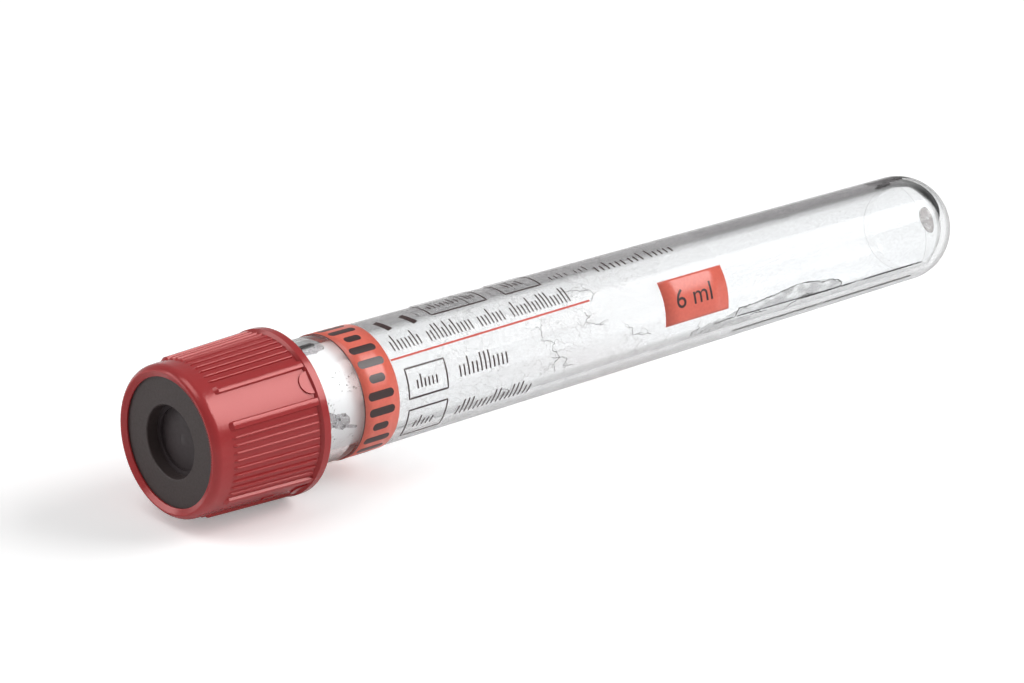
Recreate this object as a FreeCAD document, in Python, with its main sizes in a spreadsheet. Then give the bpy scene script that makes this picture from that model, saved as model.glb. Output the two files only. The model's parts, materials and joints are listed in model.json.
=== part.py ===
import FreeCAD, Part
import os
import re
import PartDesign
import Sketcher
from FreeCAD import Placement, Rotation, Vector

# A 13 x 100 mm blood collection tube, lying as it comes to rest.
#
# Each piece is modelled about the X axis: X = 0 is the front of the cap, +X runs towards the
# tube's round bottom, and angles are counted about +X from +Y towards +Z. The placement that all
# pieces share then lays the tube down on the cap's flange and on its round bottom.
# The row frame is +Z up, with its origin under the middle of the lying tube.

doc = FreeCAD.newDocument("blood_collection_tube")

# ---------------------------------------------------------------------------------------------
# Driving dimensions, in millimetres and degrees
# ---------------------------------------------------------------------------------------------
SIZES = {
    # tube
    "tube_length": 100.0,            # mouth to round bottom
    "tube_mouth_dia": 12.76,         # outside, at the mouth
    "tube_taper": 1.34,              # fall in outside diameter, from the mouth to the round bottom
    "tube_wall": 1.0,
    "mouth_round": 0.3,
    "gate_flat_dia": 2.4,            # flat on the round bottom, round the mark of the moulding gate
    "gate_nub_dia": 0.9,
    "gate_nub_rise": 0.15,
    # screw thread between tube and cap, two starts
    "thread_lead": 8.2,
    "thread_height": 0.48,           # of the tube's ridge
    "thread_root_width": 1.3,
    "thread_crest_width": 0.7,
    "thread_starts": 2,
    "thread_setback": 1.5,           # from the mouth to the middle of the ridge's first end
    "thread_run": 2.5,               # axial length of each ridge, on tube and cap alike
    "flank_gap": 0.1,                # axial, between the two pieces' ridges
    # label
    "label_setback": 13.5,           # mouth to label
    "label_length": 49.7,
    "label_film": 0.06,
    "label_lap": 20.0,               # angle over which the film overlaps itself
    "label_lap_angle": 270.0,        # of the lap's middle, which its weight brings underneath
    "label_glue": 0.03,              # between the tube and the film
    # cap, outside
    "skirt_length": 7.8,             # over the tube, past its mouth
    "cap_wall": 0.95,                # of the skirt, where the flange begins
    "cap_taper": 0.35,               # fall in outside radius, from the flange to the front
    "rim_fall": 0.55,                # radial, over the rounded front edge
    "rim_crown_round": 0.15,
    "rim_round": 0.92,               # length of the rounded front edge
    "flange_rise": 0.37,
    "flange_width": 0.92,
    "flange_slope": 0.23,
    "flange_round": 0.2,
    # cap, grips
    "grip_groups": 4,
    "grip_turn": 185.4,              # angle of the middle of a rib group
    "rib_pitch": 5.625,
    "fine_ribs": 9,                  # in each group, between two thick ribs
    "thick_rib_pitches": 1.5,        # from the last fine rib to the thick rib
    "thick_rib_width": 0.98,
    "thick_crown_width": 0.7,
    "thick_rib_height": 0.28,
    "fine_rib_width": 0.44,
    "fine_crown_width": 0.22,
    "fine_rib_height": 0.2,
    "rib_crown": 0.05,               # rise of a rib's rounded top over its flanks
    "rib_root": 0.15,                # depth of a rib's foot in the cap's wall
    "rib_setback": 2.1,              # cap front to the foot of the ribs' slanted ends
    "rib_end_slope": 0.45,
    "fine_rib_gap": 0.25,            # between a fine rib and the flange
    "moon_radius": 1.15,
    "moon_height": 0.12,
    "tag_length": 1.2,               # mark of the cap's moulding gate, on one panel
    "tag_width": 0.5,
    "tag_height": 0.1,
    "tag_setback": 7.8,
    "tag_root": 0.2,                 # depth of the half-moon's and the mark's foot in the wall
    # cap, inside
    "lip_hold": 0.3,                 # radial, of the lip over the ring
    "lip_land": 0.16,
    "lip_depth": 0.47,
    "bead_hold": 0.25,               # radial, of the bead under the stopper's head
    "bead_width": 0.6,
    "skirt_chamfer": 0.4,
    "cap_thread_root": 0.3,          # depth of the ridge's foot in the skirt's wall
    # retaining ring
    "ring_thickness": 1.3,
    "needle_hole_dia": 7.36,
    "ring_edge_round": 0.12,
    # stopper
    "head_length": 2.83,
    "head_overhang": 0.55,           # radial, of the head over the neck
    "neck_length": 1.22,
    "neck_inset": 0.08,              # radial, of the neck from the tube's outside
    "plug_length": 4.6,
    "plug_chamfer": 0.6,
    "plug_wall": 2.0,
    "plug_cavity_depth": 4.0,
    "target_depth": 0.05,            # of the low dome where the needle goes in, under the head's face
    "target_rise": 0.25,
    "target_inset": 0.48,            # radial, of the dome from the needle hole
    # clearances
    "turn_clearance": 0.08,          # radial, ring and stopper head in the cap
    "end_play": 0.05,                # axial, at the lip, the bead and the mouth
    "plug_clearance": 0.08,          # radial, plug in the tube's mouth
    "thread_clearance": 0.2,         # radial, crest of the cap's thread to the tube
    "skirt_clearance": 0.24,         # radial, crest of the tube's thread to the skirt
}

# Positions and radii that follow from the driving dimensions
PLACES = {
    "mouth_x": "head_end_x + neck_length + end_play",
    "mouth_r": "tube_mouth_dia / 2",
    "spring_r": "mouth_r - tube_taper / 2",
    "spring_x": "mouth_x + tube_length - spring_r",
    "taper": "(mouth_r - spring_r) / (tube_length - spring_r)",
    "bore_mouth_r": "mouth_r - tube_wall",
    "bore_spring_r": "spring_r - tube_wall",
    "bore_end_x": "spring_x + bore_spring_r",
    "gate_flat_r": "gate_flat_dia / 2",
    "gate_flat_x": "spring_x + sqrt(spring_r ^ 2 - gate_flat_r ^ 2)",
    "gate_nub_r": "gate_nub_dia / 2",
    "gate_nub_x": "gate_flat_x + gate_nub_rise",
    "mouth_round_x": "mouth_x + mouth_round",
    "mouth_round_r": "mouth_r - mouth_round",
    "label_x": "mouth_x + label_setback",
    "label_end_x": "label_x + label_length",
    "label_r": "mouth_r - taper * label_setback + label_glue",
    "label_end_r": "label_r - taper * label_length",
    "lap_turn": "label_lap_angle - label_lap / 2 - 90",
    "film_r": "label_r + label_film",
    "film_end_r": "label_end_r + label_film",
    "lap_r": "label_r + 2 * label_film",
    "lap_end_r": "label_end_r + 2 * label_film",
    "tube_ridge_x": "mouth_x + thread_setback",
    "tube_ridge_r": "mouth_r + thread_height",
    "tube_ridge_root_r": "mouth_r - tube_wall / 2",
    "cap_ridge_x": "tube_ridge_x + half_crest + half_root + flank_gap / 2",
    "half_root": "thread_root_width / 2",
    "half_crest": "thread_crest_width / 2",
    "cap_length": "mouth_x + skirt_length",
    "cap_rear_r": "skirt_bore_r + cap_wall",
    "cap_front_r": "cap_rear_r - cap_taper",
    "crown_r": "cap_front_r - rim_fall",
    "rim_arc_r": "(rim_round ^ 2 + rim_fall ^ 2) / (2 * rim_fall)",
    "lip_r": "ring_r - lip_hold",
    "lip_edge_x": "lip_depth - lip_land",
    "flange_x": "cap_length - flange_width",
    "flange_foot_x": "flange_x - flange_slope",
    "flange_r": "cap_rear_r + flange_rise",
    "draft": "cap_taper / (flange_foot_x - rim_round)",
    "ring_x": "lip_depth + end_play",
    "ring_end_x": "ring_x + ring_thickness",
    "ring_r": "neck_r + head_overhang",
    "ring_edge_x": "ring_x + ring_edge_round",
    "ring_edge_r": "needle_r + ring_edge_round",
    "cap_bore_r": "ring_r + turn_clearance",
    "needle_r": "needle_hole_dia / 2",
    "head_end_x": "ring_end_x + head_length",
    "bead_x": "head_end_x + 2 * end_play",
    "bead_end_x": "bead_x + bead_width",
    "bead_r": "ring_r - bead_hold",
    "skirt_x": "bead_end_x + skirt_bore_r - bead_r",
    "skirt_bore_r": "tube_ridge_r + skirt_clearance",
    "skirt_mouth_r": "skirt_bore_r + skirt_chamfer",
    "skirt_mouth_x": "cap_length - skirt_chamfer",
    "cap_ridge_r": "mouth_r + thread_clearance",
    "cap_ridge_root_r": "skirt_bore_r + cap_thread_root",
    "neck_r": "mouth_r - neck_inset",
    "neck_end_x": "mouth_x - end_play",
    "plug_r": "bore_mouth_r - plug_clearance",
    "plug_end_x": "mouth_x + plug_length",
    "plug_tip_x": "plug_end_x - plug_chamfer",
    "plug_tip_r": "plug_r - plug_chamfer / 2",
    "cavity_r": "plug_r - plug_wall",
    "cavity_x": "plug_end_x - plug_cavity_depth",
    "target_x": "ring_end_x + target_depth",
    "target_foot_x": "target_x + target_rise",
    "target_r": "needle_r - target_inset",
    "target_sphere_r": "(target_r ^ 2 + target_rise ^ 2) / (2 * target_rise)",
    "first_fine_rib": "grip_turn - fine_rib_spread / 2",
    "first_thick_rib": "first_fine_rib - rib_pitch * thick_rib_pitches",
    "second_thick_rib": "grip_turn * 2 - first_thick_rib",
    "panel_turn": "grip_turn + 180 / grip_groups",
    "moon_root_r": "cap_rear_r - draft * moon_radius / 2 - tag_root",
    "moon_rise": "tag_root + moon_height",
    "tag_root_r": "cap_front_r + draft * (tag_setback + tag_length / 2 - rim_round) - tag_root",
    "tag_rise": "tag_root + tag_height",
    "tag_end_x": "tag_setback + tag_length",
    "tag_half": "tag_width / 2",
    "fine_rib_spread": "rib_pitch * (fine_ribs - 1)",
    # lying at rest: a line under the flange's rounded edge and the round bottom
    "flange_edge_x": "cap_length - flange_round",
    "flange_edge_r": "flange_r - flange_round",
    "rest_reach": "sqrt(flange_edge_r ^ 2 + (spring_x - flange_edge_x) ^ 2)",
    "rest_tilt": "acos((spring_r - flange_round) / rest_reach)"
                 " - atan((spring_x - flange_edge_x) / flange_edge_r)",
    "rest_height": "spring_x * sin(rest_tilt) + spring_r",
    "rest_shift": "(crown_r * sin(rest_tilt) - spring_x * cos(rest_tilt) - spring_r) / 2",
}

# A rib runs from its foot, just under the wall, up a slanted end to its top, and on to its own end
RIB_SPOTS = {
    "foot": ("rib_setback", "-rib_root / 2"),
    "top": ("rib_setback + rib_end_slope", "{kind}_rib_height - rib_crown"),
    "end": ("{kind}_rib_end", "{kind}_rib_height - rib_crown"),
}
PLACES["fine_rib_end"] = "flange_foot_x - fine_rib_gap"
PLACES["thick_rib_end"] = "flange_x"
for kind in ("fine", "thick"):
    PLACES[f"{kind}_half"] = f"{kind}_rib_width / 2"
    PLACES[f"{kind}_half_crown"] = f"{kind}_crown_width / 2"
    PLACES[f"{kind}_crown_r"] = f"({kind}_crown_width ^ 2 / 4 + rib_crown ^ 2) / (2 * rib_crown)"
    for spot, (distance, rise) in RIB_SPOTS.items():
        wall = f"(cap_front_r + draft * ({kind}_{spot}_x - rim_round))"
        PLACES[f"{kind}_{spot}_x"] = distance.format(kind=kind)
        PLACES[f"{kind}_{spot}_root"] = f"{wall} - rib_root"
        PLACES[f"{kind}_{spot}_flank"] = f"{wall} + " + rise.format(kind=kind)


def fill_sheet(name, rows):
    """One row per value: its name in column A, and the value in column B under that alias."""
    sheet = doc.addObject("Spreadsheet::Sheet", name)
    for number, (alias, value) in enumerate(rows, start=1):
        sheet.set(f"A{number}", alias)
        sheet.set(f"B{number}", value)
        sheet.setAlias(f"B{number}", alias)
    doc.recompute()
    return sheet


def number_of(value):
    """A cell's plain number, with any angle unit taken off."""
    return value.Value if hasattr(value, "Value") else float(value)


sizes = fill_sheet("Sizes", [(alias, str(value)) for alias, value in SIZES.items()])


def sheet_name(word):
    return f"Sizes.{word[0]}" if word[0] in SIZES else word[0]


def with_sheet_names(formula):
    """The formula with each driving dimension written as a reference to its sheet."""
    return "=" + re.sub(r"\w+", sheet_name, formula)


places = fill_sheet("Places", [(alias, with_sheet_names(text)) for alias, text in PLACES.items()])


def reference(alias):
    """The alias as an expression, from whichever sheet holds it. A leading minus is kept."""
    if alias.startswith("-"):
        return "-" + reference(alias[1:])
    return f"Sizes.{alias}" if alias in SIZES else f"Places.{alias}"


def value_of(alias):
    """The alias as a number, for the first guess that a sketch is solved from."""
    if alias.startswith("-"):
        return -value_of(alias[1:])
    return number_of(getattr(sizes if alias in SIZES else places, alias))


# ---------------------------------------------------------------------------------------------
# Bodies, sketches and features
# ---------------------------------------------------------------------------------------------
def new_body(name):
    body = doc.addObject("PartDesign::Body", name)
    body.Label = name
    return body


def origin_of(body, role):
    return next(item for item in body.Origin.OriginFeatures if item.Role == role)


def new_sketch(body, name, role):
    sketch = body.newObject("Sketcher::SketchObject", name)
    sketch.AttachmentSupport = [(origin_of(body, role), "")]
    sketch.MapMode = "FlatFace"
    return sketch


def bind(sketch, kind, *arguments, alias):
    """A driving constraint whose size is the alias."""
    index = sketch.addConstraint(Sketcher.Constraint(kind, *arguments, value_of(alias)))
    sketch.setExpression(f"Constraints[{index}]", reference(alias))


def hold_corner(sketch, edge, end, corner):
    """Fix one end of an edge to its two sizes, measured from the sketch's origin."""
    for kind, alias, zero_axis in (("DistanceX", corner[0], -2), ("DistanceY", corner[1], -1)):
        if alias is None:
            sketch.addConstraint(Sketcher.Constraint("PointOnObject", edge, end, zero_axis))
        else:
            bind(sketch, kind, -1, 1, edge, end, alias=alias)


def point_of(corner):
    across, up = (0.0 if alias is None else value_of(alias) for alias in corner)
    return Vector(across, up, 0)


def outline(sketch, corners, arcs=None):
    """A closed outline through the corners, each a pair of aliases, where None is on an axis.

    arcs gives, for the edge that leaves a corner, the alias of its radius and the side that its
    middle bulges to: +1 is to the left of the way the outline runs, -1 to the right.
    """
    arcs = arcs or {}
    points = [point_of(corner) for corner in corners]
    for index, start in enumerate(points):
        finish = points[(index + 1) % len(points)]
        if index in arcs:
            radius_alias, side = arcs[index]
            chord = finish - start
            left = Vector(-chord.y, chord.x, 0).normalize()
            radius = value_of(radius_alias)
            half = chord.Length / 2
            depth = radius - max(radius * radius - half * half, 0.0) ** 0.5
            middle = (start + finish) / 2 + left * (side * depth)
            sketch.addGeometry(Part.Arc(start, middle, finish), False)
        else:
            sketch.addGeometry(Part.LineSegment(start, finish), False)
    for index, corner in enumerate(corners):
        before = (index - 1) % len(corners)
        start_end = arc_end(sketch, index, points[index])
        before_end = arc_end(sketch, before, points[index])
        sketch.addConstraint(Sketcher.Constraint("Coincident", before, before_end, index, start_end))
        hold_corner(sketch, index, start_end, corner)
    for index, (radius_alias, _side) in arcs.items():
        bind(sketch, "Radius", index, alias=radius_alias)


def arc_end(sketch, edge, point):
    """Which end of an edge, 1 or 2, lies at the point. An arc's own ends run anticlockwise."""
    return min((1, 2), key=lambda end: (sketch.getPoint(edge, end) - point).Length)


def add_turned(body, name, sketch, angle=None, cut=False):
    """A solid, or a cut, turned about the body's X axis."""
    kind = "PartDesign::Groove" if cut else "PartDesign::Revolution"
    turned = body.newObject(kind, name)
    turned.Profile = sketch
    turned.ReferenceAxis = (origin_of(body, "X_Axis"), [""])
    turned.Angle = 360.0
    if angle is not None:
        turned.setExpression("Angle", reference(angle))
    sketch.Visibility = False
    return turned


def repeat_round(body, name, features, count):
    """Copies of the features, evenly spaced about the body's X axis."""
    pattern = body.newObject("PartDesign::PolarPattern", name)
    pattern.Originals = features
    pattern.Axis = (origin_of(body, "X_Axis"), [""])
    pattern.Angle = 360.0
    pattern.setExpression("Occurrences", reference(count))
    body.Tip = pattern
    return pattern


def add_ridge(body, name, start_x, root_r, crest_r):
    """One helical ridge of the thread: a trapezium carried along a right-handed helix."""
    sketch = new_sketch(body, name + "_profile", "XZ_Plane")
    corners = [("half_root", -1, root_r), ("half_crest", -1, crest_r),
               ("half_crest", 1, crest_r), ("half_root", 1, root_r)]
    points = [Vector(value_of(start_x) + sign * value_of(half), value_of(radius), 0)
              for half, sign, radius in corners]
    for index, point in enumerate(points):
        sketch.addGeometry(Part.LineSegment(point, points[(index + 1) % 4]), False)
    for index, (half, sign, radius) in enumerate(corners):
        sketch.addConstraint(Sketcher.Constraint("Coincident", (index - 1) % 4, 2, index, 1))
        bind(sketch, "DistanceY", -1, 1, index, 1, alias=radius)
        across = Sketcher.Constraint("DistanceX", -1, 1, index, 1, points[index].x)
        number = sketch.addConstraint(across)
        sketch.setExpression(f"Constraints[{number}]",
                             f"{reference(start_x)} + {sign} * {reference(half)}")
    doc.recompute()
    ridge = body.newObject("PartDesign::AdditiveHelix", name)
    ridge.Profile = sketch
    ridge.ReferenceAxis = (origin_of(body, "X_Axis"), [""])
    ridge.Mode = 0
    ridge.Angle = 0.0
    ridge.LeftHanded = False
    ridge.setExpression("Pitch", reference("thread_lead"))
    ridge.setExpression("Height", reference("thread_run"))
    sketch.Visibility = False
    return ridge


# ---------------------------------------------------------------------------------------------
# Tube: one clear moulding, tapered, with a round bottom and a thread at its mouth
# ---------------------------------------------------------------------------------------------
def make_tube():
    body = new_body("tube")
    wall = new_sketch(body, "tube_wall_profile", "XZ_Plane")
    outline(wall, [
        ("mouth_x", "bore_mouth_r"),
        ("mouth_x", "mouth_round_r"),
        ("mouth_round_x", "mouth_r"),
        ("spring_x", "spring_r"),
        ("gate_flat_x", "gate_flat_r"),
        ("gate_flat_x", "gate_nub_r"),
        ("gate_nub_x", "gate_nub_r"),
        ("gate_nub_x", None),
        ("bore_end_x", None),
        ("spring_x", "bore_spring_r"),
    ], arcs={1: ("mouth_round", 1), 3: ("spring_r", 1), 8: ("bore_spring_r", -1)})
    add_turned(body, "tube_shell", wall)
    ridge = add_ridge(body, "tube_ridge", "tube_ridge_x", "tube_ridge_root_r", "tube_ridge_r")
    repeat_round(body, "tube_thread", [ridge], "thread_starts")
    return body


# ---------------------------------------------------------------------------------------------
# Label: one clear film wrapped round the tube, its last stretch lapped over its first
# ---------------------------------------------------------------------------------------------
def make_label():
    body = new_body("label")
    film = new_sketch(body, "film_profile", "XZ_Plane")
    outline(film, [
        ("label_x", "label_r"),
        ("label_x", "film_r"),
        ("label_end_x", "film_end_r"),
        ("label_end_x", "label_end_r"),
    ])
    add_turned(body, "film", film)
    lap = new_sketch(body, "lap_profile", "XZ_Plane")
    lap.setExpression("AttachmentOffset",
                      "create(<<placement>>; create(<<vector>>; 0; 0; 0); "
                      "create(<<rotation>>; create(<<vector>>; 1; 0; 0); Places.lap_turn))")
    outline(lap, [
        ("label_x", "film_r"),
        ("label_x", "lap_r"),
        ("label_end_x", "lap_end_r"),
        ("label_end_x", "film_end_r"),
    ])
    add_turned(body, "lap", lap, angle="label_lap")
    return body


# ---------------------------------------------------------------------------------------------
# Stopper: rubber, with a head in the cap and a hollow plug in the tube's mouth
# ---------------------------------------------------------------------------------------------
def make_stopper():
    body = new_body("stopper")
    section = new_sketch(body, "stopper_profile", "XZ_Plane")
    outline(section, [
        ("target_x", None),
        ("target_foot_x", "target_r"),
        ("ring_end_x", "target_r"),
        ("ring_end_x", "ring_r"),
        ("head_end_x", "ring_r"),
        ("head_end_x", "neck_r"),
        ("neck_end_x", "neck_r"),
        ("neck_end_x", "plug_r"),
        ("plug_tip_x", "plug_r"),
        ("plug_end_x", "plug_tip_r"),
        ("plug_end_x", "cavity_r"),
        ("cavity_x", "cavity_r"),
        ("cavity_x", None),
    ], arcs={0: ("target_sphere_r", 1)})
    add_turned(body, "stopper_moulding", section)
    return body


# ---------------------------------------------------------------------------------------------
# Retaining ring: pressed into the cap in front of the stopper's head
# ---------------------------------------------------------------------------------------------
def make_ring():
    body = new_body("retaining_ring")
    section = new_sketch(body, "ring_profile", "XZ_Plane")
    outline(section, [
        ("ring_edge_x", "needle_r"),
        ("ring_x", "ring_edge_r"),
        ("ring_x", "ring_r"),
        ("ring_end_x", "ring_r"),
        ("ring_end_x", "needle_r"),
    ], arcs={0: ("ring_edge_round", 1)})
    add_turned(body, "ring_washer", section)
    return body


# ---------------------------------------------------------------------------------------------
# Safety cap: one moulding, with grip ribs and plain panels outside and a thread inside
# ---------------------------------------------------------------------------------------------
def place_section(sketch, along, turn):
    """Turn a YZ sketch about the body's X axis, and move it along that axis."""
    sketch.setExpression("AttachmentOffset",
                         f"create(<<placement>>; create(<<vector>>; 0; 0; {reference(along)}); "
                         f"create(<<rotation>>; create(<<vector>>; 0; 0; 1); {reference(turn)}))")


def add_rib(body, name, kind, turn):
    """A tapered rib: a trapezium with a rounded top, lofted from its foot to its end."""
    sections = []
    for spot in RIB_SPOTS:
        section = new_sketch(body, f"{name}_{spot}", "YZ_Plane")
        place_section(section, f"{kind}_{spot}_x", turn)
        outline(section, [
            (f"{kind}_{spot}_root", f"-{kind}_half"),
            (f"{kind}_{spot}_flank", f"-{kind}_half_crown"),
            (f"{kind}_{spot}_flank", f"{kind}_half_crown"),
            (f"{kind}_{spot}_root", f"{kind}_half"),
        ], arcs={1: (f"{kind}_crown_r", -1)})
        section.Visibility = False
        sections.append(section)
    rib = body.newObject("PartDesign::AdditiveLoft", name)
    rib.Profile = sections[0]
    rib.Sections = sections[1:]
    rib.Ruled = True
    return rib


def add_panel_sketch(body, name, radius):
    """A sketch that lies flat over a panel: its x runs along the cap, and its y round it."""
    sketch = new_sketch(body, name, "XY_Plane")
    lean = f"({reference('panel_turn')} - 90)"
    sketch.setExpression("AttachmentOffset",
                         f"create(<<placement>>; create(<<vector>>; 0; "
                         f"-sin({lean}) * {reference(radius)}; cos({lean}) * {reference(radius)}); "
                         f"create(<<rotation>>; create(<<vector>>; 1; 0; 0); {lean}))")
    return sketch


def add_moon_sketch(body):
    """A half-moon against the flange: a half circle, with straight sides that run in under it."""
    sketch = add_panel_sketch(body, "half_moon_outline", "moon_root_r")
    radius = value_of("moon_radius")
    middle = Vector(value_of("flange_foot_x"), 0, 0)
    side = Vector(0, radius, 0)
    back = Vector(value_of("flange_x"), 0, 0)
    sketch.addGeometry(Part.LineSegment(back - side, middle - side), False)
    sketch.addGeometry(Part.Arc(middle - side, middle - Vector(radius, 0, 0), middle + side), False)
    sketch.addGeometry(Part.LineSegment(middle + side, back + side), False)
    sketch.addGeometry(Part.LineSegment(back + side, back - side), False)
    sketch.addConstraint(Sketcher.Constraint("Tangent", 0, 2, 1, arc_end(sketch, 1, middle - side)))
    sketch.addConstraint(Sketcher.Constraint("Tangent", 1, arc_end(sketch, 1, middle + side), 2, 1))
    sketch.addConstraint(Sketcher.Constraint("Coincident", 2, 2, 3, 1))
    sketch.addConstraint(Sketcher.Constraint("Coincident", 3, 2, 0, 1))
    for edge in (0, 2):
        sketch.addConstraint(Sketcher.Constraint("Horizontal", edge))
    sketch.addConstraint(Sketcher.Constraint("Vertical", 3))
    hold_corner(sketch, 1, 3, ("flange_foot_x", None))
    bind(sketch, "Radius", 1, alias="moon_radius")
    bind(sketch, "DistanceX", -1, 1, 2, 2, alias="flange_x")
    return sketch


def add_pad(body, name, sketch, length):
    pad = body.newObject("PartDesign::Pad", name)
    pad.Profile = sketch
    pad.setExpression("Length", reference(length))
    sketch.Visibility = False
    return pad


def add_fine_ribs(body):
    """One fine rib, repeated along its group and then for each group."""
    rib = add_rib(body, "fine_rib", "fine", "first_fine_rib")
    row = body.newObject("PartDesign::MultiTransform", "fine_ribs")
    row.Originals = [rib]
    steps = []
    for name, count in (("along_group", "fine_ribs"), ("each_group", "grip_groups")):
        step = body.newObject("PartDesign::PolarPattern", name)
        step.Axis = (origin_of(body, "X_Axis"), [""])
        step.setExpression("Occurrences", reference(count))
        steps.append(step)
    steps[0].setExpression("Angle", reference("fine_rib_spread"))
    steps[1].Angle = 360.0
    row.Transformations = steps
    body.Tip = row


def round_crown(body, shell):
    """A small round on the shell's front edge."""
    doc.recompute()
    crown = value_of("crown_r")
    number = next(index for index, edge in enumerate(shell.Shape.Edges, start=1)
                  if isinstance(edge.Curve, Part.Circle) and abs(edge.Curve.Radius - crown) < 1e-4
                  and abs(edge.Curve.Center.x) < 1e-4)
    fillet = body.newObject("PartDesign::Fillet", "crown_round")
    fillet.Base = (shell, [f"Edge{number}"])
    fillet.setExpression("Radius", reference("rim_crown_round"))


def make_cap():
    body = new_body("safety_cap")
    wall = new_sketch(body, "cap_profile", "XZ_Plane")
    outline(wall, [
        ("lip_edge_x", "lip_r"),
        (None, "crown_r"),
        ("rim_round", "cap_front_r"),
        ("flange_foot_x", "cap_rear_r"),
        ("flange_x", "flange_r"),
        ("flange_edge_x", "flange_r"),
        ("cap_length", "flange_edge_r"),
        ("cap_length", "skirt_mouth_r"),
        ("skirt_mouth_x", "skirt_bore_r"),
        ("skirt_x", "skirt_bore_r"),
        ("bead_end_x", "bead_r"),
        ("bead_x", "bead_r"),
        ("bead_x", "cap_bore_r"),
        ("lip_depth", "cap_bore_r"),
        ("lip_depth", "lip_r"),
    ], arcs={1: ("rim_arc_r", 1), 5: ("flange_round", 1)})
    round_crown(body, add_turned(body, "cap_shell", wall))
    ridge = add_ridge(body, "cap_ridge", "cap_ridge_x", "cap_ridge_root_r", "cap_ridge_r")
    repeat_round(body, "cap_thread", [ridge], "thread_starts")
    thick = [add_rib(body, "thick_rib_a", "thick", "first_thick_rib"),
             add_rib(body, "thick_rib_b", "thick", "second_thick_rib")]
    repeat_round(body, "thick_ribs", thick, "grip_groups")
    add_fine_ribs(body)
    moon = add_pad(body, "half_moon", add_moon_sketch(body), "moon_rise")
    repeat_round(body, "half_moons", [moon], "grip_groups")
    tag = add_panel_sketch(body, "tag_outline", "tag_root_r")
    outline(tag, [
        ("tag_setback", "-tag_half"),
        ("tag_end_x", "-tag_half"),
        ("tag_end_x", "tag_half"),
        ("tag_setback", "tag_half"),
    ])
    body.Tip = add_pad(body, "gate_tag", tag, "tag_rise")
    return body


PIECES = [make_tube(), make_label(), make_stopper(), make_ring(), make_cap()]
for piece in PIECES:
    piece.setExpression("Placement",
                        "create(<<placement>>; "
                        "create(<<vector>>; Places.rest_shift; 0; Places.rest_height); "
                        "create(<<rotation>>; create(<<vector>>; 0; 1; 0); Places.rest_tilt))")
doc.recompute()

for item in doc.Objects:
    if "Invalid" in item.State or "Error" in item.State:
        raise RuntimeError(f"{item.Name} is not sound: {item.State} {item.getStatusString()}")
for piece in PIECES:
    if piece.Shape.isNull() or not piece.Shape.isValid() or len(piece.Shape.Solids) != 1:
        raise RuntimeError(f"{piece.Label} is not one valid solid")

os.makedirs("parts", exist_ok=True)
for piece in PIECES:
    piece.Shape.exportStep(f"parts/{piece.Label}.step")
    print(piece.Label, round(piece.Shape.Volume, 2), "mm3")
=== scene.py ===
import json
import math

import bmesh
import bpy
import numpy as np
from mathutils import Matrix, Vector

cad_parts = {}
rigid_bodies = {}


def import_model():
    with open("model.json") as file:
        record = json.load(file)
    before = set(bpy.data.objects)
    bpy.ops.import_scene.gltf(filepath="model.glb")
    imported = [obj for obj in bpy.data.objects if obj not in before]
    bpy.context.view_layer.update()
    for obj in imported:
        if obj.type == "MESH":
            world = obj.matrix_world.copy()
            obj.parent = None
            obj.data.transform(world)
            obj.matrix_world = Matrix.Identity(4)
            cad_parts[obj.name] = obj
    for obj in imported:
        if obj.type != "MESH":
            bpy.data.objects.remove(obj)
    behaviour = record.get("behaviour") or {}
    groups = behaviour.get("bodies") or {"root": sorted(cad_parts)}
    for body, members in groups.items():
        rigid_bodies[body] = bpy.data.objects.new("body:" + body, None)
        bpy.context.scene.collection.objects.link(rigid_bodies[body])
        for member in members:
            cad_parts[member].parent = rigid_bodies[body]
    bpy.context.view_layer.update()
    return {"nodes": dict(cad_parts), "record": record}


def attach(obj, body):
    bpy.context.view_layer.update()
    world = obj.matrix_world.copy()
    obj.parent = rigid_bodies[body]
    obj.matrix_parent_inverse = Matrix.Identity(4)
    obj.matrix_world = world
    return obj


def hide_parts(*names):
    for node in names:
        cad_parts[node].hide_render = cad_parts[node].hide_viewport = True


for leftover in list(bpy.data.objects):
    bpy.data.objects.remove(leftover, do_unlink=True)
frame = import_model()
scene = bpy.context.scene
scene.view_settings.view_transform = "Standard"

# ---------------------------------------------------------------------------------------------
# The tube: a clear injection-moulded plastic tube with a round bottom, slightly tapered so that
# it leaves its mould core, with the thread for the cap on its neck. All else is placed from its
# axis, which the frame's needle_hole mount gives.
MM = 0.001
mounts = {mount["name"]: mount for mount in frame["record"]["mounts"]}
needle_hole = mounts["needle_hole"]
ALONG = -np.array(needle_hole["axis"], dtype=float)
ALONG /= np.linalg.norm(ALONG)
ACROSS = np.array([0.0, 1.0, 0.0])
UPWARD = np.cross(ALONG, ACROSS)
HOLE_STATION = 1.23
RIM = np.array(needle_hole["pos_m"], dtype=float) - HOLE_STATION * MM * ALONG
TUBE_R_AT_NECK = 6.38
NECK_STATION = 5.92
TUBE_TAPER = 0.0071058
TUBE_WALL = 1.0
SPRING_STATION = 100.21


def tube_radius(station):
    """Outside radius in mm: the neck's radius less the taper times the distance past the neck. On the
    round end it is the root of that radius squared less the distance past the springing squared."""
    cone = TUBE_R_AT_NECK - TUBE_TAPER * (station - NECK_STATION)
    return np.sqrt(np.maximum(cone ** 2 - np.maximum(station - SPRING_STATION, 0) ** 2, 0))


def round_the_tube(station, turn, radius):
    """A place in metres: a station in mm along the axis from the cap's rim, a turn in degrees from +Y
    upwards, and a radius in mm. It is the axis point plus radius times (cos turn, sin turn)."""
    station, turn, radius = np.broadcast_arrays(station, np.radians(turn), radius)
    place = RIM + MM * station[..., None] * ALONG
    place = place + MM * (radius * np.cos(turn))[..., None] * ACROSS
    return place + MM * (radius * np.sin(turn))[..., None] * UPWARD


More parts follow.
